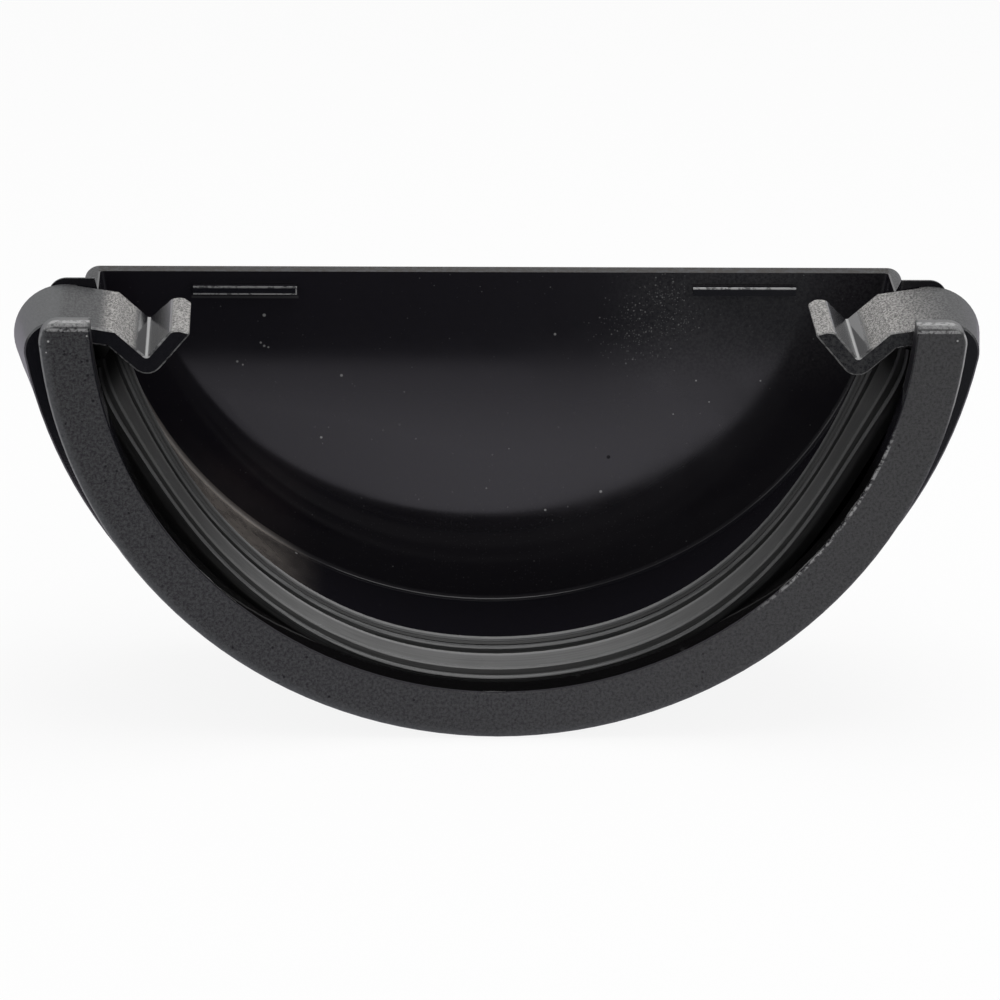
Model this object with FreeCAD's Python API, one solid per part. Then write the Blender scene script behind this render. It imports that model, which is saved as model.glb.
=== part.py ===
import FreeCAD, Part
import math
import os

# End cap for a half-round rain gutter: one moulding with two snap clips, and a ribbed rubber seal.
# Millimetres. The gutter axis is Y, the mouth faces -Y, the end plate is towards +Y and +Z is up.
# Every "drop" is measured straight down from the gutter axis.

# Gutter and mouth
gutter_radius = 56.0      # outside of the gutter that slides in
entry_gap = 1.2           # room between the gutter and the mouth

# Front rim
rim_width = 7.2           # radial width of the front face
rim_depth = 3.4           # thickness along the gutter
rim_drop = 2.55           # level top ends
rim_corner = 2.6          # round outer corner of each top end
rim_edge = 0.8            # round front edge

# Seal groove and collar
groove_depth = 3.1        # floor of the groove outside the mouth
groove_length = 17.0      # from the back of the rim to the rear flange
collar_step = 0.9         # collar inside the rim at the bottom
collar_front_rise = 3.9   # centre of the collar's round above the gutter axis, at its front
collar_back_rise = 7.9    # and at its back, where the collar is wider
front_shoulder = 4.3      # round over which the collar runs into a clip, at its front
back_shoulder = 7.4       # and at its back
collar_edge = 0.25        # bevelled front edge of the collar

# Snap clips
clip_length = 16.75       # along the gutter
strap_thickness = 2.4
strap_drop = 4.0          # top of the strap above the mouth's edge
strap_slope = 9.0         # degrees, falling inwards
bend_reach = 3.5          # inwards from the mouth to the bend
notch_reach = 7.8         # inwards from the mouth to the V
notch_drop = 8.45
notch_round = 0.4         # bottom of the V
nose_slope = 50.0         # degrees
nose_drop = 4.35          # crown of the nose
nose_inner_fall = 0.15    # from the crown to the edge above the V
nose_tip_fall = 0.5       # from the crown to the free end
crown_share = 0.42        # place of the crown between the V and the free end
crown_round = 1.5
nose_round = 0.9          # between the V and the nose's top
tip_round = 0.3           # free end of the nose
belly_radius = 2.4        # outside of the V
nose_taper = 2.9          # the nose is this much shorter than the V
nose_corner = 0.9         # bevelled back corner of the nose
clip_edge = 0.25          # bevelled front edge

# Rear flange, channel and end plate
flange_width = 6.7
flange_drop = 2.6
flange_corner = 2.6
flange_lip = 0.4
flange_taper = 5.2        # length of the slope down to the channel wall
channel_wall = 2.6
socket_depth = 34.9       # from the mouth to the inside of the plate
plate_thickness = 2.9
plate_drop = 6.35
plate_corner = 2.2
plate_edge = 0.5          # bevelled outer edge
floor_fillet = 0.6

# Small ribs on the inside of the plate
plate_rib_length = 14.9
plate_rib_height = 1.2
plate_rib_proud = 1.1
plate_rib_start = 28.6    # from the middle of the plate
plate_rib_fall = 1.95     # below the top of the plate

# Rubber seal
seal_front_gap = 1.6      # between the seal and the rim
seal_back_gap = 0.15      # between the seal and the rear flange
seal_seat_gap = 0.05      # between the seal and the groove's floor
seal_clip_gap = 0.3       # between the ends of the seal and the clips
seal_web = 1.9            # strip between its ridges
ridge_height = 1.3
ridge_bevel = 0.3
ridge_widths = (0.9, 5.5, 1.0, 2.5)    # front lip, wide band, thin ridge, rear band
furrow_shares = (0.47, 0.39, 0.14)     # how the furrows share the rest of the width
lip_undercut = 2.0        # hollow under the front lip
seal_right_end = 7.6      # degrees below level
seal_left_end = 10.6      # degrees below level
seal_step = 11.0          # degrees between the sections that shape it

# The seal has crept out of its groove on both sides. Each swelling has a height, the angle of its crest
# below level, and how many degrees it reaches towards the seal's end and towards the bottom.
right_front_swelling = (2.75, 28.0, 21.0, 42.0)
right_back_swelling = (3.4, 23.0, 40.0, 52.0)
left_front_swelling = (1.95, 33.0, 23.0, 48.0)
left_back_swelling = (3.1, 23.0, 40.0, 58.0)

# Sizes that follow from the ones above
mouth_radius = gutter_radius + entry_gap
rim_radius = mouth_radius + rim_width
groove_radius = mouth_radius + groove_depth
groove_back = rim_depth + groove_length
flange_radius = mouth_radius + flange_width
flange_end = groove_back + flange_lip + flange_taper
shell_radius = mouth_radius + channel_wall
plate_outside = socket_depth + plate_thickness
collar_depth = rim_radius - collar_step
overlap = 0.5             # how far a fused piece reaches into its neighbour

Vector = FreeCAD.Vector
along = Vector(0, 1, 0)


def point(flat, y):
    """Place a point (x, z) of an outline at a distance along the gutter."""
    return Vector(flat[0], y, flat[1])


def line(start, end, y):
    return Part.makeLine(point(start, y), point(end, y))


def arc(start, middle, end, y):
    return Part.Arc(point(start, y), point(middle, y), point(end, y)).toShape()


def move(start, direction, distance):
    return (start[0] + direction[0] * distance, start[1] + direction[1] * distance)


def unit(start, end):
    """Direction from one point to another."""
    length = math.dist(start, end)
    return ((end[0] - start[0]) / length, (end[1] - start[1]) / length)


def heading(degrees):
    angle = math.radians(degrees)
    return (math.cos(angle), math.sin(angle))


def turned(direction):
    """The direction a quarter turn to the left."""
    return (-direction[1], direction[0])


def crossing(start, direction, other_start, other_direction):
    """Where two straight lines meet."""
    cross = direction[0] * other_direction[1] - direction[1] * other_direction[0]
    gap = (other_start[0] - start[0], other_start[1] - start[1])
    distance = (gap[0] * other_direction[1] - gap[1] * other_direction[0]) / cross
    return move(start, direction, distance)


def on_circle(start, direction, centre, radius):
    """Where a line that starts inside a circle and runs along direction leaves it."""
    offset = (start[0] - centre[0], start[1] - centre[1])
    half = offset[0] * direction[0] + offset[1] * direction[1]
    rest = offset[0] ** 2 + offset[1] ** 2 - radius ** 2
    return move(start, direction, math.sqrt(half ** 2 - rest) - half)


def extrude(wire, length):
    return Part.Face(wire).extrude(along * length)


def rounded_outline(corners, y):
    """Closed outline of straight lines, where each corner (x, z, radius) is rounded by its radius."""
    count = len(corners)
    spans = []
    for index, (x, z, radius) in enumerate(corners):
        here = (x, z)
        before = unit(here, corners[index - 1][:2])
        after = unit(here, corners[(index + 1) % count][:2])
        half_turn = math.acos(before[0] * after[0] + before[1] * after[1]) / 2
        reach = radius / math.tan(half_turn)
        inward = unit((0, 0), (before[0] + after[0], before[1] + after[1]))
        apex = move(here, inward, radius / math.sin(half_turn) - radius)
        spans.append((move(here, before, reach), apex, move(here, after, reach), radius))
    edges = []
    for index, (start, apex, end, radius) in enumerate(spans):
        if radius > 0:
            edges.append(arc(start, apex, end, y))
        edges.append(line(end, spans[(index + 1) % count][0], y))
    return Part.Wire(edges)


def half_round(radius, drop, corner, y):
    """Closed outline of a half disc with a level top and round top corners."""
    centre_z = -drop - corner
    centre_x = math.sqrt((radius - corner) ** 2 - centre_z ** 2)
    outward = unit((0, 0), (centre_x, centre_z))
    top = (centre_x, -drop)
    apex = move((centre_x, centre_z), unit((0, 0), (outward[0], outward[1] + 1)), corner)
    side = move((0, 0), outward, radius)
    return Part.Wire([
        line(other(top), top, y),
        arc(top, apex, side, y),
        arc(side, (0, -radius), other(side), y),
        arc(other(side), other(apex), other(top), y),
    ])


def slab(radius, drop, corner, start, end):
    return extrude(half_round(radius, drop, corner, start), end - start)


def drum(radius, start, end):
    return Part.makeCylinder(radius, end - start, Vector(0, start, 0), along)


def edges_at(solid, y):
    """Edges that lie in one plane across the gutter."""
    return [edge for edge in solid.Edges
            if abs(edge.BoundBox.YMin - y) < 1e-6 and abs(edge.BoundBox.YMax - y) < 1e-6]


def make_rim():
    disc = slab(rim_radius, rim_drop, rim_corner, 0, rim_depth)
    disc = disc.makeFillet(rim_edge, edges_at(disc, 0))
    return disc.cut(drum(mouth_radius, -overlap, rim_depth + overlap))


# The clip's outline, drawn for the right-hand side: the strap's top line and what hangs from it.
strap_way = heading(strap_slope)                      # outwards along the strap
strap_up = turned(strap_way)
strap_top = (mouth_radius, -strap_drop)
strap_under = move(strap_top, strap_up, -strap_thickness)
groove_top = on_circle(move(strap_under, strap_way, -bend_reach), strap_way, (0, 0), groove_radius)
bend = crossing(strap_top, strap_way, (mouth_radius - bend_reach, 0), (0, 1))
notch = (mouth_radius - notch_reach, -notch_drop)
dip_way = unit(bend, notch)
dip_under = move(notch, turned(dip_way), strap_thickness)


def other(flat):
    """The same point on the left-hand side."""
    return (-flat[0], flat[1])


def collar_outline(rise, shoulder, inset, y):
    """Section of the collar with its two shoulders, drawn smaller by the inset."""
    centre = (0, rise)
    radius = collar_depth + rise
    round_centre = on_circle(move(strap_top, strap_up, -shoulder), strap_way, centre, radius - shoulder)
    outward = unit(centre, round_centre)
    between = unit((0, 0), (strap_up[0] + outward[0], strap_up[1] + outward[1]))
    top = move(round_centre, strap_up, shoulder - inset)
    apex = move(round_centre, between, shoulder - inset)
    side = move(round_centre, outward, shoulder - inset)
    root = move(groove_top, strap_up, strap_thickness - inset)
    return Part.Wire([
        line(groove_top, root, y),
        line(root, top, y),
        arc(top, apex, side, y),
        arc(side, (0, inset - collar_depth), other(side), y),
        arc(other(side), other(apex), other(top), y),
        line(other(top), other(root), y),
        line(other(root), other(groove_top), y),
        arc(other(groove_top), (0, -groove_radius), groove_top, y),
    ])


def make_collar():
    """Thick band behind the rim that widens towards the back, with the shoulders of the clips."""
    return Part.makeLoft([
        collar_outline(collar_front_rise, front_shoulder, collar_edge, rim_depth),
        collar_outline(collar_front_rise, front_shoulder, 0, rim_depth + collar_edge),
        collar_outline(collar_back_rise, back_shoulder, 0, groove_back),
    ], True, True)


def make_clip():
    """Right-hand strap with its V and nose."""
    nose_way = heading(180 - nose_slope)
    root = move(groove_top, strap_way, overlap)
    nose_under = move(notch, turned(nose_way), strap_thickness)
    level = (1, 0)
    inner = crossing(notch, nose_way, (0, -nose_drop - nose_inner_fall), level)
    tip = crossing(nose_under, nose_way, (0, -nose_drop - nose_tip_fall), level)
    crown = (inner[0] + (tip[0] - inner[0]) * crown_share, -nose_drop)
    corners = [
        (*move(root, strap_up, strap_thickness), 0),
        (*bend, 0),
        (*notch, notch_round),
        (*inner, nose_round),
        (*crown, crown_round),
        (*tip, tip_round),
        (*crossing(nose_under, nose_way, dip_under, dip_way), belly_radius),
        (*crossing(dip_under, dip_way, strap_under, strap_way), 0),
        (*root, 0),
    ]
    clip = extrude(rounded_outline(corners, rim_depth), clip_length)
    front_edges = [edge for edge in edges_at(clip, rim_depth) if edge.BoundBox.XMin < mouth_radius]
    clip = clip.makeChamfer(clip_edge, front_edges)
    # Seen from above, the back edge runs forwards from the V to the nose, whose back corner is cut off.
    back = rim_depth + clip_length
    end = clip.BoundBox.XMin
    high = clip.BoundBox.ZMax
    slope = Part.makePolygon([
        Vector(notch[0], back, high),
        Vector(inner[0], back - nose_taper, high),
        Vector(end + nose_corner, back - nose_taper, high),
        Vector(end, back - nose_taper - nose_corner, high),
        Vector(end, back, high),
        Vector(notch[0], back, high),
    ])
    return clip.cut(Part.Face(slope).extrude(Vector(0, 0, clip.BoundBox.ZMin - high)))


def make_rear():
    """Rear flange that slopes down to the channel wall, the wall and the end plate."""
    shell = slab(shell_radius, plate_drop, plate_corner, groove_back, plate_outside)
    shell = shell.makeChamfer(plate_edge, edges_at(shell, plate_outside))
    lip_end = groove_back + flange_lip
    lip = slab(flange_radius, flange_drop, flange_corner, groove_back, lip_end)
    slope = Part.makeLoft([
        half_round(flange_radius, flange_drop, flange_corner, lip_end),
        half_round(shell_radius, plate_drop, plate_corner, flange_end),
    ], True, True)
    hollow = drum(mouth_radius, groove_back - overlap, socket_depth)
    hollow = hollow.makeFillet(floor_fillet, edges_at(hollow, socket_depth))
    return shell.fuse([lip, slope]).cut(hollow)


def make_plate_rib():
    corner = Vector(plate_rib_start,
                    socket_depth - plate_rib_proud,
                    -plate_drop - plate_rib_fall - plate_rib_height)
    return Part.makeBox(plate_rib_length, plate_rib_proud + overlap, plate_rib_height, corner)


def mirrored(solid):
    return solid.mirror(Vector(0, 0, 0), Vector(1, 0, 0))


def make_body():
    clip = make_clip()
    plate_rib = make_plate_rib()
    pieces = [make_collar(), make_rear(), clip, mirrored(clip), plate_rib, mirrored(plate_rib)]
    return make_rim().fuse(pieces).removeSplitter()


def seal_corners():
    """Section across the seal as corners (radius, distance along the gutter)."""
    front = rim_depth + seal_front_gap
    width = groove_length - seal_front_gap - seal_back_gap
    back = groove_radius - seal_seat_gap
    floor = back - seal_web
    crest = floor - ridge_height
    spare = width - sum(ridge_widths)
    last = len(ridge_widths) - 1
    corners = [(back, front + width), (back, front + lip_undercut)]
    start = front
    for index, ridge in enumerate(ridge_widths):
        end = start + ridge
        if index > 0:
            corners.append((floor, start))
        corners.append((crest + ridge_bevel, start))
        corners.append((crest, start + ridge_bevel))
        corners.append((crest, end - ridge_bevel))
        corners.append((crest + ridge_bevel, end))
        if index < last:
            corners.append((floor, end))
            start = end + spare * furrow_shares[index]
    return corners


def swelling(angle, height, crest, end_reach, low_reach):
    """How far the seal stands out of its groove at an angle below level."""
    reach = end_reach if angle < crest else low_reach
    share = min(abs(angle - crest) / reach, 1)
    return height * math.cos(share * math.pi / 2) ** 2


def seal_section(angle):
    """Section of the seal at an angle below level, counted from the right."""
    front = swelling(angle, *right_front_swelling) + swelling(180 - angle, *left_front_swelling)
    back = swelling(angle, *right_back_swelling) + swelling(180 - angle, *left_back_swelling)
    outward = heading(-angle)
    places = []
    for radius, y in seal_corners():
        lift = front + (back - front) * (y - rim_depth) / groove_length
        places.append(point(move((0, 0), outward, radius - lift), y))
    return Part.makePolygon(places + places[:1])


def make_clip_room():
    """Space of the right-hand clip and a little around it, which the seal keeps clear of."""
    strap_edge = move(strap_under, strap_up, -seal_clip_gap)
    dip_edge = move(dip_under, turned(dip_way), seal_clip_gap)
    outer = move(strap_edge, strap_way, rim_width)
    inner = move(dip_edge, dip_way, strap_thickness)
    room = Part.makePolygon([
        point(flat, rim_depth)
        for flat in (outer, crossing(dip_edge, dip_way, strap_edge, strap_way), inner,
                     (inner[0], 0), (outer[0], 0), outer)
    ])
    return extrude(room, groove_length)


def make_seal():
    """Ribbed strip, shaped through sections around the gutter axis and cut short below the clips."""
    sweep = 180 - seal_right_end - seal_left_end
    count = math.ceil(sweep / seal_step)
    sections = [seal_section(seal_right_end + sweep * index / count) for index in range(count + 1)]
    room = make_clip_room()
    return Part.makeLoft(sections, True, False).cut([room, mirrored(room)])


os.makedirs("parts", exist_ok=True)
for node, shape in (("end_cap_body", make_body()), ("rubber_seal", make_seal())):
    box = shape.BoundBox
    print(node, "solids", len(shape.Solids), "valid", shape.isValid(), "volume", round(shape.Volume),
          "size", round(box.XLength, 2), round(box.YLength, 2), round(box.ZLength, 2))
    shape.exportStep("parts/" + node + ".step")
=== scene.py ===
# %% [markdown]
# A gutter end cap
#
# The object closes the end of a half-round rain gutter. It is one black moulding with a strip of rubber in
# it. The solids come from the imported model, already in place and in metres, so this lesson only dresses
# them: it aims a camera, makes the finishes of the plastic and the rubber, adds the thin flash of the
# mould, and lights the whole on a pale table.

# %% Load the solids
import math
import random

import bpy
from mathutils import Matrix, Vector


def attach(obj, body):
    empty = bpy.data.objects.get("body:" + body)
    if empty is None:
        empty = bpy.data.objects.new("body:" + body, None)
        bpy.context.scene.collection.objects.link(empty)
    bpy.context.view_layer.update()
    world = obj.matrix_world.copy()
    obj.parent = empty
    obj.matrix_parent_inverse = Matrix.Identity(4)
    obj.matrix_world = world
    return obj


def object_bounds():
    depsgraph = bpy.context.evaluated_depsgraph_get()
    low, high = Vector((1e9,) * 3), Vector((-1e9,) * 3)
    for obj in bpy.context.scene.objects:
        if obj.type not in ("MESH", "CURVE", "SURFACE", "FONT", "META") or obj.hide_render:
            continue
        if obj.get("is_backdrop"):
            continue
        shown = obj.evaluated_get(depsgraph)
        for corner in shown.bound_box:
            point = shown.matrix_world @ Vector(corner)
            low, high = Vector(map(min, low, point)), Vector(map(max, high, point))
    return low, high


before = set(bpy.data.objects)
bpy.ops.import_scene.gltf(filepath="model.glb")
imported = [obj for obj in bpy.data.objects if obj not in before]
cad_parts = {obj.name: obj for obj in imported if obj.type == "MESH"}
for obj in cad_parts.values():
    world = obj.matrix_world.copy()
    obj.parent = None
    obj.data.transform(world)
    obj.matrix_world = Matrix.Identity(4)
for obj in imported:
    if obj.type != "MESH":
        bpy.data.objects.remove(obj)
cad_box = [list(corner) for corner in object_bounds()]
cap_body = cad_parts["end_cap_body"]
rubber_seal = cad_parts["rubber_seal"]
print("solids:", sorted(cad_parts))
print("box in mm:", [[round(side * 1000, 1) for side in corner] for corner in cad_box])

# %% [markdown]
# The camera
#
# The photo looks into the mouth of the cap from a little above. The gutter runs along Y, away from the
# camera, X goes to the right and Z up. A long lens from far away could be set by hand until the outline
# fits. Here the angles, the distance and the lens come from the places of known corners in the photo, so
# the picture of each edge falls where it does there.

# %% Aim the camera
mm = 0.001
camera_turn = math.radians(-2.5)     # round the cap, from straight in front of the mouth
camera_lift = math.radians(21.0)     # above level
camera_roll = math.radians(0.967)
camera_distance = 730.65 * mm
camera_aim = Vector((-0.293, 0.0, -28.147)) * mm
camera_lens = 188.57                 # mm, on a 36 mm wide sensor

backwards = Vector((math.sin(camera_turn) * math.cos(camera_lift),
                    -math.cos(camera_turn) * math.cos(camera_lift),
                    math.sin(camera_lift)))
level = Vector((math.cos(camera_turn), math.sin(camera_turn), 0.0))
upright = backwards.cross(level)
rightwards = math.cos(camera_roll) * level + math.sin(camera_roll) * upright
upwards = math.cos(camera_roll) * upright - math.sin(camera_roll) * level

camera_data = bpy.data.cameras.new("photo_camera")
camera_data.sensor_width = 36.0
camera_data.sensor_fit = "HORIZONTAL"
camera_data.lens = camera_lens
camera_data.clip_start = 0.05
camera = bpy.data.objects.new("photo_camera", camera_data)
camera.matrix_world = (Matrix.Translation(camera_aim + backwards * camera_distance)
                       @ Matrix((rightwards, upwards, backwards)).transposed().to_4x4())
bpy.context.scene.collection.objects.link(camera)
bpy.context.scene.camera = camera
print("camera at", [round(side / mm) for side in camera.matrix_world.translation], "mm")

# %% [markdown]
# Shader sums
#
# A finish is a web of nodes. Wiring it node by node hides the idea, so a small class lets a socket take
# part in plain Python sums: `1 - mask` adds the Math node by itself. Every other node comes from one
# method, which takes the node's type, its settings and what goes into its sockets.


# %% Values and finishes
class Value:
    """A number that varies over a surface: a socket that can be added and multiplied."""

    def __init__(self, finish, socket):
        self.finish = finish
        self.socket = socket

    def __add__(self, other):
        return self.finish.sum("ADD", self, other)

    def __radd__(self, other):
        return self.finish.sum("ADD", other, self)

    def __sub__(self, other):
        return self.finish.sum("SUBTRACT", self, other)

    def __rsub__(self, other):
        return self.finish.sum("SUBTRACT", other, self)

    def __mul__(self, other):
        return self.finish.sum("MULTIPLY", self, other)

    def __rmul__(self, other):
        return self.finish.sum("MULTIPLY", other, self)

    def __pow__(self, other):
        return self.finish.sum("POWER", self, other)

    def __abs__(self):
        return self.finish.sum("ABSOLUTE", self)


class Finish:
    """A material, or the world, that is built from nodes."""

    def __init__(self, owner):
        owner.use_nodes = True
        self.owner = owner
        self.tree = owner.node_tree
        self.tree.nodes.clear()

    def add(self, kind, settings=None, sockets=None):
        """Add a node: its settings first, then the numbers or links of its sockets."""
        node = self.tree.nodes.new("ShaderNode" + kind)
        for name, setting in (settings or {}).items():
            setattr(node, name, setting)
        for key, content in (sockets or {}).items():
            if isinstance(content, Value):
                self.tree.links.new(content.socket, node.inputs[key])
            else:
                node.inputs[key].default_value = content
        return node

    def value(self, kind, settings=None, sockets=None, output=0):
        return Value(self, self.add(kind, settings, sockets).outputs[output])

    def sum(self, operation, *terms):
        return self.value("Math", {"operation": operation}, dict(enumerate(terms)))

    def fade(self, value, start, end):
        """0 at start, 1 at end, with a soft step between; end may lie below start."""
        return self.value("MapRange", {"interpolation_type": "SMOOTHSTEP"},
                          {"Value": value, "From Min": start, "From Max": end})

    def band(self, value, middle, reach):
        """1 at the middle, 0 from the reach on, on both sides."""
        return self.fade(abs(value - middle), reach, 0.4 * reach)

    def blend(self, share, first, second):
        """Mix two colours."""
        return self.value("Mix", {"data_type": "RGBA"}, {0: share, 6: first, 7: second}, output=2)

    def largest(self, *values):
        greatest = values[0]
        for value in values[1:]:
            greatest = self.sum("MAXIMUM", greatest, value)
        return greatest

    def layered(self, colour, layers):
        """A colour under layers, each of which is given as a share and a colour."""
        for share, tint in layers:
            colour = self.blend(share, colour, tint)
        return colour

    def stretched(self, vector, factors):
        return self.value("VectorMath", {"operation": "MULTIPLY"}, {0: vector, 1: factors})

    def noise(self, vector, scale, detail=2.0, roughness=0.5):
        return self.value("TexNoise", None,
                          {"Vector": vector, "Scale": scale, "Detail": detail, "Roughness": roughness})

    def cells(self, vector, spacing):
        """Distance to the middle of the nearest cell, in cells, and a random number for that cell."""
        voronoi = self.add("TexVoronoi", None, {"Vector": vector, "Scale": 1.0 / spacing})
        chance = self.value("SeparateColor", None, {"Color": Value(self, voronoi.outputs["Color"])})
        return Value(self, voronoi.outputs["Distance"]), chance

    def specks(self, vector, spacing, size, share):
        """Small round dots, in a share of cells that are about a spacing wide."""
        distance, chance = self.cells(vector, spacing)
        is_chosen = self.fade(chance, share + 0.01, share)
        return self.fade(distance, size / spacing, 0.6 * size / spacing) * is_chosen


def grey(level, warmth=0.0):
    """A colour of one grey level, a little warmer or cooler."""
    return (level * (1 + warmth), level, level * (1 - warmth), 1.0)


print("shader sums ready")

# %% [markdown]
# Where on the moulding
#
# The whole cap is one solid, but its skin differs: the rim has a cast grain, the clips are sandy, the
# channel is polished. Painting masks by hand would need unwrapped faces. The parts of the cap lie at known
# distances from the gutter's axis and from the mouth, so masks are worked out from the place of each point,
# in millimetres.

# %% Places on the moulding
mouth_radius = 57.2
rim_depth = 3.4
rim_top = -2.55
groove_back = 20.4
plate_inside = 34.9
notch_height = -8.45
clip_underside = -12.6

plastic = Finish(bpy.data.materials.new("black_moulded_plastic"))


def places(finish):
    """The point in millimetres as a vector, its three parts and its distance from the gutter's axis."""
    coordinates = finish.add("TexCoord")
    vector = finish.value("VectorMath", {"operation": "SCALE"},
                          {0: Value(finish, coordinates.outputs["Object"]), "Scale": 1 / mm})
    split = finish.add("SeparateXYZ", None, {0: vector})
    x, y, z = (Value(finish, socket) for socket in split.outputs)
    return vector, x, y, z, (x * x + z * z) ** 0.5


place, across, along, height, radius = places(plastic)
looks = plastic.add("SeparateXYZ", None, {0: Value(plastic, plastic.add("TexCoord").outputs["Normal"])})
looks_across, looks_along, looks_up = (Value(plastic, socket) for socket in looks.outputs)

# %% Masks on the moulding
# Each pair is where a mask is 0 and where it is 1, in mm or as a part of the surface's direction.
rim_inside = (mouth_radius + 0.05, mouth_radius + 0.4)
rim_front = (1.1, 0.6)
mouth_inside = (mouth_radius + 0.35, mouth_radius + 0.1)
flange_front = (groove_back + 0.2, groove_back)
above_clip_underside = (clip_underside, clip_underside + 0.3)
plate_front = (plate_inside - 0.35, plate_inside - 0.1)
plate_edge_front = (plate_inside - 0.1, plate_inside)
plate_back = (plate_inside + 0.3, plate_inside + 0.1)
facing_up = (0.3, 0.5)
facing_front = (-0.3, -0.55)
facing_out = (12.0, 24.0)

on_rim_face = plastic.fade(radius, *rim_inside)
rim_skin = plastic.fade(along, *rim_front) * on_rim_face
looks_outwards = plastic.fade(across * looks_across, *facing_out)
looks_upwards = plastic.fade(looks_up, *facing_up)
before_flange = plastic.fade(along, *flange_front)
within_mouth = plastic.fade(radius, *mouth_inside)
inside_channel = within_mouth * plastic.fade(along, *plate_back)
clip_zone = (1 - rim_skin) * before_flange * plastic.fade(height, *above_clip_underside)
clip_skin = within_mouth * clip_zone
plate_edge = looks_upwards * within_mouth * plastic.fade(along, *plate_edge_front)
polished = inside_channel * (1 - clip_zone) * (1 - rim_skin) * (1 - plate_edge)
plate_skin = polished * plastic.fade(along, *plate_front)
front_faces = plastic.fade(looks_along, *facing_front) * (1 - rim_skin) * (1 - polished)
print("masks for the rim, the channel and the plate")

# %% Masks on the clips
bend_place = 53.7
strap_inside = (bend_place - 0.6, bend_place + 0.6)
clip_front = (rim_depth - 0.3, rim_depth)
sand_left = (-56.4, -54.2)
sand_right = (64.0, 52.0)
sand_foot = (notch_height + 1.1, notch_height + 2.0)

on_strap = plastic.fade(abs(across), *strap_inside)
sandy = (looks_upwards * (1 - looks_outwards) * before_flange * plastic.fade(along, *clip_front)
         * plastic.fade(across, *sand_left) * plastic.fade(across, *sand_right)
         * plastic.fade(height, *sand_foot))
v_faces = clip_skin * looks_upwards * (1 - sandy) * (1 - on_strap)
shoulder_skin = looks_upwards * (1 - polished) * (1 - rim_skin) * on_strap
print("masks for the strap, the sand, the V and the shoulder")

# %% Masks on the rim's edges and in the corners, some for painted sheen and shade
round_start = (62.7, 64.0)
round_side = (64.0, -40.0)           # strongest on the left
rim_back = (rim_depth + 0.1, rim_depth)
facing_level = (0.5, 0.8)
rim_wall_back = (rim_depth + 0.2, rim_depth)
rim_wall_top = (-18.0, -26.0)
groove_front = (rim_depth - 0.1, rim_depth + 0.3)
groove_floor = (61.5, 60.6)
groove_top = (-9.0, -12.0)
fillet_front = (plate_inside - 0.7, plate_inside - 0.55)
fillet_inside = (mouth_radius - 0.75, mouth_radius - 0.6)

# painted sheen on the rim's outer rounded edge, strongest on the left
rim_round_sheen = rim_skin * plastic.fade(radius, *round_start) * plastic.fade(across, *round_side)
rim_end_skin = on_rim_face * plastic.fade(along, *rim_back) * plastic.fade(looks_up, *facing_level)
# painted shade on the lower part of the rim's inner wall, in the gap in front of the seal
shaded_rim_wall = (within_mouth * (1 - rim_skin) * plastic.fade(along, *rim_wall_back)
            * plastic.fade(height, *rim_wall_top))
# the groove behind the rim, where a dark matt shader paints shade in part
shaded_groove = ((1 - within_mouth) * before_flange * plastic.fade(along, *groove_front)
               * plastic.fade(radius, *groove_floor) * plastic.fade(height, *groove_top))
fillet_skin = polished * plastic.fade(along, *fillet_front) * plastic.fade(radius, *fillet_inside)
print("masks on the moulding:", len(plastic.tree.nodes), "nodes")

# %% [markdown]
# The cast grain of the rim and the sand of the clips
#
# The front of the rim looks like cast iron: low lumps with small pits. The clips carry a sharper, sandy
# texture. Real bumps would need millions of faces, and at this size a Bump node gives the same look. Its
# height is in millimetres, so the depth of each texture can be read off. The pits are too small to need a
# depth; the shade in them is painted as dark dots, and a dark matt shader takes over in part in them and in
# the low places of the lumps.

# %% Noises and the height of the grain
lump_scale = 2.2             # waves in a mm
sand_scale = 3.3
satin_scale = 5.0
break_scale = 1.2
streak_scale = 1.4
cloud_scale = 0.32
smudge_scale = 0.11
lump_depth = 0.05            # mm
sand_depth = 0.05
satin_depth = 0.012

lumps = plastic.fade(plastic.noise(place, lump_scale, 4.0, 0.8), 0.35, 0.65)
along_sand = plastic.stretched(place, (1.0, 0.6, 1.0))
sand = plastic.fade(plastic.noise(along_sand, sand_scale, 3.0, 0.8), 0.37, 0.62)
satin = plastic.noise(place, satin_scale, 1.0)
breaks = plastic.noise(place, break_scale, 2.0, 0.7)
along_streaks = plastic.stretched(place, (0.05, 1.0, 2.2))
streaks = plastic.noise(along_streaks, streak_scale, 3.0, 0.6)
cloud = plastic.noise(place, cloud_scale, 3.0, 0.6)
smudges = plastic.noise(place, smudge_scale, 3.0, 0.6)

grain_height = (lump_depth * rim_skin * lumps + sand_depth * sandy * sand
                + satin_depth * (1 - inside_channel) * satin)
skin_normal = plastic.value("Bump", None, {"Strength": 1.0, "Distance": mm, "Height": grain_height})
print("grain of rim and clips added")

# %% Sides of the cap and the rim's pits, painted dark as shade
pit_spacing = 0.8
pit_size = 0.24
on_right = plastic.fade(across, -20.0, 20.0)
on_left = plastic.fade(across, 5.0, -5.0)
upper_left = on_left * plastic.fade(height, -36.0, -16.0)
top_left = plastic.fade(across, -20.0, -50.0) * plastic.fade(height, -16.0, -8.0)
pit_share = 0.03 + 0.08 * upper_left + 0.25 * top_left
# the rim's pits, where shade is painted dark
pits = plastic.largest(plastic.specks(place, pit_spacing, pit_size, pit_share),
                       upper_left * plastic.fade(breaks, 0.36, 0.3))
print("pits added, most of them at the top left")
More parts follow.
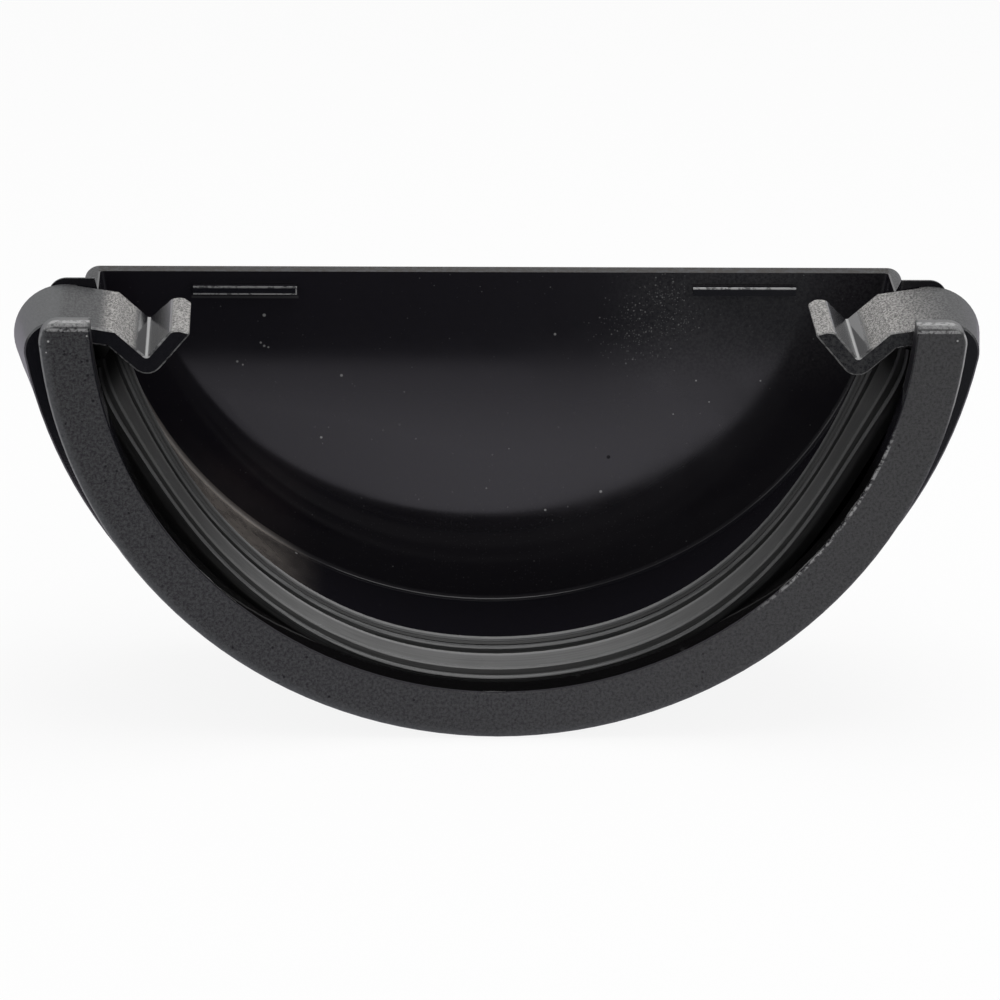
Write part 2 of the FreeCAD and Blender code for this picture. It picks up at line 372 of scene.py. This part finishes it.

# %% [markdown]
# Wear and painted highlights on edges
#
# The plastic is nearly black, and what we see is mostly gloss. Some of its sharp edges have gone pale with
# wear, in broken lines, and along others a highlight is painted where a rounded edge would catch the light.
# They could be found by a bevel trick that looks for sharp corners, but only some edges show them. So each
# one is a narrow band at a known place, and a noise breaks it up.

# %% Wear and painted highlights on the rim and the clips
worn_right = plastic.fade(across, 34.0, 42.0) * plastic.fade(height, -16.0, -22.0)
worn_bottom = plastic.fade(abs(across), 8.0, 3.0)
rim_inner_edge = (plastic.band(radius, mouth_radius + 0.3, 0.3) * plastic.fade(along, 0.45, 0.1)
                  * plastic.fade(breaks, 0.42, 0.58) * plastic.largest(worn_right, 0.08 * worn_bottom))
back_line = plastic.band(along, 1.6, 0.9) * plastic.fade(height, rim_top - 0.5, rim_top - 0.1)
front_line = plastic.band(height, rim_top - 0.7, 0.3) * plastic.fade(along, 0.3, 0.1)
rim_ends = plastic.largest(back_line, front_line) * plastic.fade(breaks, 0.36, 0.56)
# painted highlight along the rim's outer rounded edge, most of it on the right
highlight_right = plastic.fade(across, 55.0, 61.0) * plastic.fade(height, -20.0, -10.0)
highlight_left = plastic.fade(across, -40.0, -55.0)
round_highlight = (plastic.band(along, 0.45, 0.35) * plastic.fade(radius, 63.6, 63.9)
                * plastic.largest(highlight_right, 0.4 * highlight_left))
# wear, and painted highlights where rounded front edges of the clips would catch the light
clip_edge_wear_and_highlights = (clip_skin * plastic.band(along, rim_depth + 0.1, 0.4) * plastic.fade(looks_along, -0.9, -0.75)
              * plastic.fade(breaks, 0.3, 0.6))
# painted highlight along the bottom of the V notch
notch_highlight = clip_skin * looks_upwards * plastic.fade(height, notch_height + 0.3, notch_height + 0.16)
print("worn lines on rim and clips")

# %% Painted highlights on the edges of the small ribs on the plate
rib_front = 33.8
rib_top = -8.3
rib_bottom = -9.5
rib_inner_end = 28.6
rib_outer_end = 43.5
highlight_below_rib_place = rib_bottom - 0.72

rib_length = (plastic.fade(abs(across), rib_inner_end - 0.4, rib_inner_end - 0.1)
              * plastic.fade(abs(across), rib_outer_end + 0.4, rib_outer_end + 0.1))
# painted highlights along the ribs' top edges, and on the left rib along its bottom edge and inner end
left_rib_highlight_lines = plastic.largest(plastic.band(height, rib_bottom, 0.25),
                                 plastic.band(abs(across), rib_inner_end, 0.25))
rib_highlight_lines = plastic.largest((1 - 0.6 * on_left) * plastic.band(height, rib_top, 0.3),
                            0.5 * on_left * left_rib_highlight_lines)
rib_edge_highlights = (rib_highlight_lines * rib_length * polished * plastic.fade(along, rib_front + 0.4, rib_front + 0.15)
             * plastic.fade(along, rib_front - 0.3, rib_front - 0.1))
# painted pale highlight line on the plate below the left rib
highlight_below_rib = plate_skin * on_left * rib_length * plastic.band(height, highlight_below_rib_place, 0.28)
broken_rib_highlights = (0.3 + 0.7 * plastic.fade(breaks, 0.38, 0.5)) * rib_edge_highlights
# wear on the rim's edges, with painted highlights on the rim's rounded edge, the clips, the notch and the
# ribs
wear_and_highlights = plastic.largest(0.6 * rim_inner_edge, 0.1 * highlight_below_rib, 0.55 * rim_ends, 0.25 * clip_edge_wear_and_highlights,
                       0.6 * notch_highlight, 0.8 * round_highlight, broken_rib_highlights)
print("worn lines on the ribs")

# %% [markdown]
# Dust, chips and stains
#
# The cap has lain about: specks of dust sit on the plate, most of them in a patch at the upper right, and
# the rim has a few chips. A warm glint on the channel's left side is painted as a pale brown layer. Loose
# specks are dots in a share of random cells. The larger ones have their places in a list, so that they
# stand where the photo shows them.

# %% Chips and larger marks
rim_chips = [                # across and up on the front of the rim, and size, mm
    (-62.8, -4.9, 0.2),
    (-63.1, -6.5, 0.14),
    (-57.5, -4.1, 0.16),
    (62.7, -4.5, 0.18),
]
plate_marks = [              # across and up on the plate, and size, mm
    (-33.3, -13.0, 0.3),
    (-33.8, -17.2, 0.2),
    (-33.3, -17.7, 0.22),
    (-32.7, -17.9, 0.18),
    (-37.2, -20.1, 0.22),
    (-36.4, -20.6, 0.18),
    (-22.1, -22.2, 0.26),
    (-25.0, -31.8, 0.24),
    (8.8, -15.8, 0.24),
    (16.0, -40.2, 0.26),
    (7.9, -43.1, 0.22),
    (29.5, -22.9, 0.16),
    (31.5, -26.2, 0.14),
    (26.3, -28.1, 0.14),
    (38.9, -22.9, 0.16),
]
plate_pit = (17.0, -34.8, 0.36)
chip_depth = (1.4, 0.9)
seen_from_mouth = plastic.stretched(place, (1.0, 0.0, 1.0))


def dot(mark):
    """1 within a small round mark that is given by its place across and up and its size."""
    mark_across, mark_height, size = mark
    aside = plastic.value("VectorMath", {"operation": "DISTANCE"},
                          {0: seen_from_mouth, 1: (mark_across, 0.0, mark_height)}, output=1)
    return plastic.fade(aside, size, 0.5 * size)


def dots(marks):
    return plastic.largest(*[dot(mark) for mark in marks])


chips = dots(rim_chips) * plastic.fade(along, *chip_depth)
pit_mark = plate_skin * dot(plate_pit)
print(len(rim_chips), "chips and", len(plate_marks) + 1, "marks")

# %% Dust, and a rim face that grows lighter to the right
patch_across = 22.5          # middle of the dusty patch, mm
patch_height = -13.5
patch_lean = (0.83, 0.56)    # parts of its length that go across and up

low_dust = plastic.fade(height, -38.0, -46.0) * plastic.fade(abs(across), 40.0, 20.0)
plate_specks = plate_skin * plastic.largest(
    dots(plate_marks), 0.3 * plastic.specks(place, 2.2, 0.14, 0.16),
    0.11 * plastic.specks(place, 0.42, 0.11, 0.04 + 0.4 * low_dust) * breaks)
beside = across - patch_across
above = height - patch_height
patch_length = patch_lean[0] * beside + patch_lean[1] * above
patch_width = patch_lean[0] * above - patch_lean[1] * beside
patch = plastic.fade(abs(patch_length), 10.0, 3.0) * plastic.fade(abs(patch_width), 7.0, 1.5)
patch_specks = plate_skin * plastic.largest(0.36 * plastic.specks(place, 0.36, 0.12, 0.75 * patch) * breaks,
                                            0.4 * plastic.specks(place, 0.8, 0.15, 0.55 * patch))
fine_dust = plate_skin * plastic.fade(across, 12.0, 26.0) * plastic.fade(height, -26.0, -18.0) * lumps
haze = plate_skin * plastic.fade(across, -8.0, 36.0) * smudges
# the rim's face grows lighter towards the right
rim_lighter_right = rim_skin * plastic.fade(across, -45.0, 60.0)
print("dust on plate and rim")

# %% Painted glint and highlight, stains and dirt
glint_sweep = -2.3            # radians from +X to the middle of the painted glint, round the gutter's axis
stain_across = -36.0
stain_height = -41.0

sweep = plastic.sum("ARCTAN2", height, across)
# painted warm glint on the channel's left side
warm_glint = (polished * (1 - plate_skin) * (1 - before_flange) * plastic.fade(abs(sweep - glint_sweep), 0.3, 0.05)
        * cloud)
stain = (plate_skin * plastic.fade(abs(across - stain_across), 12.0, 2.0)
         * plastic.fade(abs(height - stain_height), 10.0, 2.0) * cloud)
edge_dirt = plate_edge * plastic.fade(breaks, 0.4, 0.6)
# painted highlight on the fillet at the lower left
fillet_highlight = fillet_skin * plastic.fade(across, -26.0, -36.0) * plastic.fade(height, -20.0, -28.0)
print("film and stains")

# %% [markdown]
# Colour and gloss of the plastic
#
# A real surface carries its dirt in layers, and the colour is built in the same way: black plastic first,
# then each mask with its tint, the loose dust and the wear with painted highlights last; some layers paint
# light or shade, and their names say so. The gloss is a sum, in which each mask makes the skin rougher or
# smoother. In the pits, in the low places of the rim's grain and in the groove behind the rim, a dark matt
# shader takes over in part as painted shade; on parts of the plate and of the fillet the same shader makes
# the skin matt and dark.

# %% Colour of the plastic
black_plastic = (0.0066, 0.006, 0.0085, 1.0)
sand_colour = plastic.blend(sand, grey(0.07, 0.03), grey(0.4, 0.03))
# painted sheen on the outer part of the left shoulder
left_shoulder_sheen = shoulder_skin * plastic.fade(across, -61.0, -62.0)
clip_mottle = front_faces * clip_skin * lumps * (0.1 + 0.6 * on_right)
layers = [                   # how much of each layer, and its colour
    (rim_skin * lumps, grey(0.056, -0.03)),
    # the rim's face grows lighter towards the right
    (rim_lighter_right * (0.4 + 0.45 * lumps), grey(0.058)),
    # painted shade in the pits
    (0.8 * rim_skin * pits, grey(0.002)),
    # painted sheen on the rim's outer rounded edge
    (0.75 * rim_round_sheen, grey(0.085, -0.05)),
    (rim_end_skin * (0.35 + 0.5 * sand), grey(0.3)),
    (shoulder_skin * (0.15 + 0.7 * sand), grey(0.075, -0.02)),
    # painted sheen on the outer part of the left shoulder
    (0.5 * left_shoulder_sheen, grey(0.09, -0.04)),
    (sandy, sand_colour),
    (0.3 * v_faces * lumps, grey(0.03, -0.1)),
    (clip_mottle, grey(0.05)),
    # painted shade on the lower inner wall of the rim
    (0.9 * shaded_rim_wall, grey(0.0015, 0.1)),
    (0.5 * edge_dirt, grey(0.06, 0.12)),
    (0.5 * plate_skin * streaks, (0.0105, 0.0085, 0.0105, 1.0)),
    (stain, (0.026, 0.019, 0.021, 1.0)),
    (0.05 * haze, grey(0.2)),
    # painted warm glint on the channel's left side
    (warm_glint, (0.235, 0.21, 0.19, 1.0)),
    # painted highlight on the fillet at the lower left
    (0.4 * fillet_highlight, (0.42, 0.38, 0.35, 1.0)),
    (0.17 * fine_dust, grey(0.12)),
    (0.9 * patch_specks, grey(0.4)),
    (0.7 * plate_specks, grey(0.5)),
    # wear and painted highlights on edges, and chips
    (plastic.largest(wear_and_highlights, 0.9 * chips), grey(0.5)),
]
colour = plastic.layered(black_plastic, layers)
print("colour in", len(layers), "layers")

# %% Gloss of the plastic
plain_roughness = 0.46
low_plate = plate_skin * plastic.fade(height, -43.0, -49.0)
roughness_changes = [        # how much each mask adds to the roughness
    (0.08, rim_skin),
    (0.1, rim_skin * lumps),
    (0.14, sandy),
    (0.16, shoulder_skin),
    (-0.43, polished),
    (0.05, polished * smudges),
    (-0.3, front_faces),
    (-0.3, shaded_groove),
    (-0.36, v_faces),
    (0.13, v_faces * looks_outwards),
    (0.1, plate_edge),
    (0.3, plate_edge * edge_dirt),
    (0.04, plate_skin * streaks),
    (0.05, low_plate),
    (0.14, haze),
    (0.2, warm_glint),
]
roughness = plain_roughness
for amount, mask in roughness_changes:
    roughness = roughness + amount * mask
skin = plastic.add("BsdfPrincipled", None,
                   {"Base Color": colour, "Roughness": roughness, "Normal": skin_normal, "IOR": 1.5})
print("gloss from", len(roughness_changes), "masks")

# %% Painted shade, matt places and the finished plastic
# the plate turns partly matt and dark at the top, less so on the right, towards the left and round its
# outer part
upper_dulling = (0.5 - 0.35 * plastic.fade(across, 8.0, 30.0)) * plastic.fade(height, -36.0, -18.0)
left_dulling = 0.3 * plastic.fade(across, 5.0, -45.0)
lower_dulling = 0.4 * plastic.fade(radius, 44.5, 47.5)
plate_dulling = plate_skin * plastic.largest(upper_dulling, left_dulling, lower_dulling)
# the fillet turns matt and dark towards the bottom, from a little left of the middle rightwards
dull_lower_fillet = fillet_skin * plastic.fade(across, -30.0, -12.0) * plastic.fade(height, -25.0, -40.0)
# painted shade in the rim's pits, strongest on the left, and in the low places of its grain
rim_hollow_shade = rim_skin * ((0.12 + 0.35 * on_left) * pits + 0.2 * (1 - lumps))
shade_and_dullness = rim_hollow_shade + 0.3 * dull_lower_fillet + 0.6 * shaded_groove + plastic.largest(plate_dulling, 0.8 * pit_mark)

# a dark matt shader: painted shade in the pits, the grain and the groove, and a matt dark skin on parts of
# the plate and the fillet
shade_and_dull_skin = plastic.add("BsdfDiffuse", None, {"Color": (0.0112, 0.0102, 0.0132, 1.0)})
shaded_and_dulled = plastic.add("MixShader", None,
                     {0: shade_and_dullness, 1: Value(plastic, skin.outputs[0]), 2: Value(plastic, shade_and_dull_skin.outputs[0])})
plastic.add("OutputMaterial", None, {"Surface": Value(plastic, shaded_and_dulled.outputs[0])})
cap_body.material_slots[0].material = plastic.owner
print("plastic:", len(plastic.tree.nodes), "nodes")

# %% [markdown]
# The rubber seal
#
# The seal is an extruded strip, pushed into its groove by hand. Its ridges are in the solid. What the
# finish adds is the fine lines that the die leaves along the strip, a matt skin, dust and dirt, painted
# shade in the furrows, on the sides and near the top ends, and painted highlights near two rear edges. The
# lines have to follow the bend, so they are drawn from the distance to the gutter's axis and the distance
# along it, and not from the three directions of space.

# %% Noises of the rubber
die_line_scale = 3.2         # waves in a mm
bloom_scale = 0.25
rubber_grain_scale = 5.0

rubber = Finish(bpy.data.materials.new("dusty_rubber"))
seal_place, seal_across, seal_along, seal_height, seal_radius = places(rubber)
seal_sweep = rubber.sum("ARCTAN2", seal_height, seal_across)
along_strip = rubber.value("CombineXYZ", None, {0: 2.0 * seal_sweep, 1: die_line_scale * seal_along,
                                                2: die_line_scale * seal_radius})
die_lines = rubber.noise(along_strip, 1.0, 3.0, 0.6)
bloom = rubber.noise(seal_place, bloom_scale, 4.0, 0.65)
rubber_grain = rubber.noise(seal_place, rubber_grain_scale, 2.0)
rubber_specks = rubber.specks(seal_place, 5.5, 0.22, 0.25)
print("die lines, bloom, grain and specks of the rubber")

# %% Bands of the seal, its painted edge highlights and its painted shade
front_lip = (5.0, 5.9)           # first and last mm along the gutter
wide_band = (8.4, 13.9)
thin_ridge = (16.0, 17.0)
rear_band = (17.75, 20.25)


def between(ends, soft=0.15):
    """1 between two distances along the gutter."""
    start, end = ends
    return (rubber.fade(seal_along, start - soft, start + soft)
            * rubber.fade(seal_along, end + soft, end - soft))


on_wide_band = between(wide_band)
on_low_bands = between(front_lip) + between(thin_ridge) + between((rear_band[0] + 0.5, rear_band[1]))
# painted highlights near the rear edges of the wide band and the rear band
edge_highlights = rubber.largest(rubber.band(seal_along, wide_band[1] - 0.6, 0.7),
                              rubber.band(seal_along, rear_band[1] - 0.7, 0.7))
# 1 in the middle of the seal; its sides get painted shade
unshaded_middle = rubber.fade(seal_across, -46.0, -26.0) * rubber.fade(seal_across, 54.0, 8.0)
# where painted shade falls near the top ends of the seal
shaded_top = rubber.fade(seal_height, -19.0, -13.0)
print("masks on the seal:", len(rubber.tree.nodes), "nodes")

# %% Colour and skin of the rubber
die_line_depth = 0.02        # mm
rubber_grain_depth = 0.006
# the furrows are dark from dirt and from painted shade
furrow_dirt_and_shade = grey(0.016)
die_contrast = rubber.fade(die_lines, 0.36, 0.64)
wide_band_tone = rubber.blend(bloom, grey(0.1), grey(0.15))
rubber_layers = [            # how much of each layer, and its colour
    (on_low_bands, grey(0.06, -0.02)),
    (on_wide_band, wide_band_tone),
    (0.55 * die_contrast * (on_wide_band + on_low_bands), grey(0.2)),
    # painted highlights near the rear edges of the wide band and the rear band
    (0.8 * edge_highlights, grey(0.29)),
    # painted shade on the sides of the seal
    (0.75 * (1 - unshaded_middle), grey(0.012)),
    # painted shade near the seal's top ends
    (0.8 * shaded_top, grey(0.004)),
    (0.7 * rubber_specks, grey(0.5)),
]
rubber_colour = rubber.layered(furrow_dirt_and_shade, rubber_layers)
rubber_height = die_line_depth * die_lines + rubber_grain_depth * rubber_grain
rubber_normal = rubber.value("Bump", None, {"Strength": 1.0, "Distance": mm, "Height": rubber_height})
rubber_skin = rubber.add("BsdfPrincipled", None,
                         {"Base Color": rubber_colour, "Roughness": 0.4 + 0.16 * bloom,
                          "Normal": rubber_normal, "IOR": 1.5})
print("rubber colour in", len(rubber_layers), "layers")

# %% Shaded end and the finished rubber
rubber_shade = rubber.add("BsdfDiffuse", None, {"Color": grey(0.004)})
shaded_end = 0.85 * rubber.fade(seal_height, -17.0, -12.0) * rubber.fade(seal_across, 0.0, -20.0)
rubber_mix = rubber.add("MixShader", None, {0: shaded_end, 1: Value(rubber, rubber_skin.outputs[0]),
                                            2: Value(rubber, rubber_shade.outputs[0])})
rubber.add("OutputMaterial", None, {"Surface": Value(rubber, rubber_mix.outputs[0])})
rubber_seal.material_slots[0].material = rubber.owner
print("rubber:", len(rubber.tree.nodes), "nodes")

# %% [markdown]
# Flash on the rim
#
# Where the halves of the mould meet at the rim's inner edge, a little plastic has crept between them and
# left a thin ragged fin, which catches the light on the right. It could be painted as a pale line, but a
# fin also shows against the dark seal behind it. It is a strip with four points at each step round the edge
# and a height that wanders.

# %% Shape of the flash
flash_root = 0.06            # mm that the fin reaches into the rim
flash_thickness = 0.07
flash_step = 0.35            # degrees round the gutter's axis
flash_wander = 0.35          # greatest change of the height from step to step, as a share
taper_steps = 6              # over which each end runs out
least_height = 0.01          # mm
flash_stretches = [          # first and last degree below level on the right, and greatest height in mm
    (24.0, 47.0, 0.16),
    (89.0, 92.5, 0.08),
    (130.0, 138.0, 0.1),
]


def around(angle, distance, y):
    """A point at an angle below level on the right, at a distance from the gutter's axis."""
    turn = math.radians(angle)
    return Vector((distance * math.cos(turn), y, -distance * math.sin(turn))) * mm


def make_flash(name, first, last, tallest, chance):
    steps = int((last - first) / flash_step)
    corners = []
    wander = 0.5
    for step in range(steps + 1):
        wander = min(1.0, max(0.0, wander + chance.uniform(-flash_wander, flash_wander)))
        taper = min(1.0, step / taper_steps, (steps - step) / taper_steps)
        tip = mouth_radius - tallest * wander * taper - least_height
        angle = first + step * flash_step
        for distance, y in ((mouth_radius + flash_root, 0.0), (tip, 0.0),
                            (tip, 0.5 * flash_thickness), (mouth_radius + flash_root, flash_thickness)):
            corners.append(around(angle, distance, y))
    faces = []
    for step in range(steps):
        here = 4 * step
        for side in range(4):
            beside = (side + 1) % 4
            faces.append((here + side, here + beside, here + 4 + beside, here + 4 + side))
    faces.append((3, 2, 1, 0))
    faces.append(tuple(4 * steps + side for side in range(4)))
    mesh = bpy.data.meshes.new(name)
    mesh.from_pydata(corners, [], faces)
    mesh.validate()
    piece = bpy.data.objects.new(name, mesh)
    bpy.context.scene.collection.objects.link(piece)
    return piece


print("flash in", len(flash_stretches), "stretches")

# %% Make the flash
flash = Finish(bpy.data.materials.new("torn_plastic_edge"))
flash_place = places(flash)[0]
flash_tone = flash.blend(flash.noise(flash_place, 2.5, 3.0, 0.7), grey(0.02), grey(0.26))
flash_skin = flash.add("BsdfPrincipled", None, {"Base Color": flash_tone, "Roughness": 0.5, "IOR": 1.5})
flash.add("OutputMaterial", None, {"Surface": Value(flash, flash_skin.outputs[0])})

chance = random.Random(7)
for number, (first, last, tallest) in enumerate(flash_stretches):
    fin = make_flash("rim_flash_%d" % number, first, last, tallest, chance)
    fin.data.materials.append(flash.owner)
    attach(fin, "root")
    print(fin.name, len(fin.data.polygons), "faces")

# %% [markdown]
# The table, the surroundings and the lamps
#
# The photo is taken on white, and the black plastic shows it: the plate mirrors the white table in front of
# the rim, up to the table's front edge, and what faces up mirrors the white behind. So the table is white
# to the camera and in reflections, dark past its front edge in reflections only, and keeps the soft shadow.
# Broad lamps above and at the sides light the rubber and the dust at a plain level.

# %% The table
table_front = -91.0          # mm, where its white ends in reflections
table_soft = 5.0             # mm to each side of it
table_reach = 3.0            # metres to each side
table_glow = 0.88            # share of glow in what the camera sees
cool_white = (0.93, 0.9, 1.0, 1.0)
table_height = cad_box[0][2]

table = Finish(bpy.data.materials.new("white_table"))
rays = table.add("LightPath")
to_camera = Value(table, rays.outputs["Is Camera Ray"])
in_gloss = table.largest(Value(table, rays.outputs["Is Glossy Ray"]),
                         Value(table, rays.outputs["Is Transmission Ray"]))
table_across, table_along = places(table)[1:3]
white_part = table.fade(table_along, table_front - table_soft, table_front + table_soft)
past_edge = table.blend(table.fade(table_across, -60.0, 140.0), grey(0.03, -0.2), grey(0.24, -0.05))
white = table.blend(to_camera, cool_white, grey(1.0))
glow_colour = table.blend(table.largest(to_camera, white_part), past_edge, white)
glow = table.add("Emission", None, {"Color": glow_colour, "Strength": 1.0})
board = table.add("BsdfDiffuse", None, {"Color": grey(0.93)})
table_mix = table.add("MixShader", None,
                      {0: table_glow * to_camera + in_gloss,
                       1: Value(table, board.outputs[0]), 2: Value(table, glow.outputs[0])})
table.add("OutputMaterial", None, {"Surface": Value(table, table_mix.outputs[0])})

table_corners = [(-table_reach, -table_reach, table_height), (table_reach, -table_reach, table_height),
                 (table_reach, table_reach, table_height), (-table_reach, table_reach, table_height)]
table_mesh = bpy.data.meshes.new("table_top")
table_mesh.from_pydata(table_corners, [], [(0, 1, 2, 3)])
table_top = bpy.data.objects.new("table_top", table_mesh)
table_mesh.materials.append(table.owner)
bpy.context.scene.collection.objects.link(table_top)
table_top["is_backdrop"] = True
print("table at", round(table_height / mm, 2), "mm")

# %% The surroundings
fill_level = 0.5             # for light that is scattered
front_level = 0.25           # what gloss shows of the dim side behind the camera
world = bpy.data.worlds.new("white_room")
bpy.context.scene.world = world
room = Finish(world)
room_rays = room.add("LightPath")
room_to_camera = Value(room, room_rays.outputs["Is Camera Ray"])
room_in_gloss = room.largest(Value(room, room_rays.outputs["Is Glossy Ray"]),
                             Value(room, room_rays.outputs["Is Transmission Ray"]))
towards = room.add("SeparateXYZ", None, {0: Value(room, room.add("TexCoord").outputs["Generated"])})
in_front = room.fade(Value(room, towards.outputs[1]), 0.1, -0.5)
gloss_level = 1 - (1 - front_level) * in_front
unseen_level = room_in_gloss * (gloss_level - fill_level) + fill_level
room_level = room_to_camera * (1 - unseen_level) + unseen_level
background = room.add("Background", None, {"Color": grey(1.0), "Strength": room_level})
room.add("OutputWorld", None, {"Surface": Value(room, background.outputs[0])})
print("room:", len(room.tree.nodes), "nodes")

# %% The lamps
lamps = [                    # name, place in mm, side in mm, brightness of its face where white is 1
    ("top_lamp", (60, 40, 520), 420, 3.2),
    ("right_lamp", (520, -260, 260), 320, 1.2),
    ("left_lamp", (-560, -160, 220), 320, 0.8),
]
for name, spot, side, brightness in lamps:
    lamp_data = bpy.data.lights.new(name, "AREA")
    lamp_data.size = side * mm
    lamp_data.energy = brightness * math.pi * (side * mm) ** 2
    lamp = bpy.data.objects.new(name, lamp_data)
    lamp.location = Vector(spot) * mm
    lamp.rotation_euler = (camera_aim - lamp.location).to_track_quat("-Z", "Y").to_euler()
    bpy.context.scene.collection.objects.link(lamp)
    print(name, "energy", round(lamp_data.energy, 2))

bpy.context.scene.view_settings.view_transform = "Standard"

# %% [markdown]
# Size
#
# The dressed part has to stay as large as the solids, so the boxes before and after dressing are compared
# and the largest change is printed.

# %% Compare the boxes and finish
dressed_box = [list(corner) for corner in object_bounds()]
print("largest change of the box in mm:",
      round(max(abs(new - old) for ends in zip(cad_box, dressed_box) for old, new in zip(*ends)) / mm, 3))
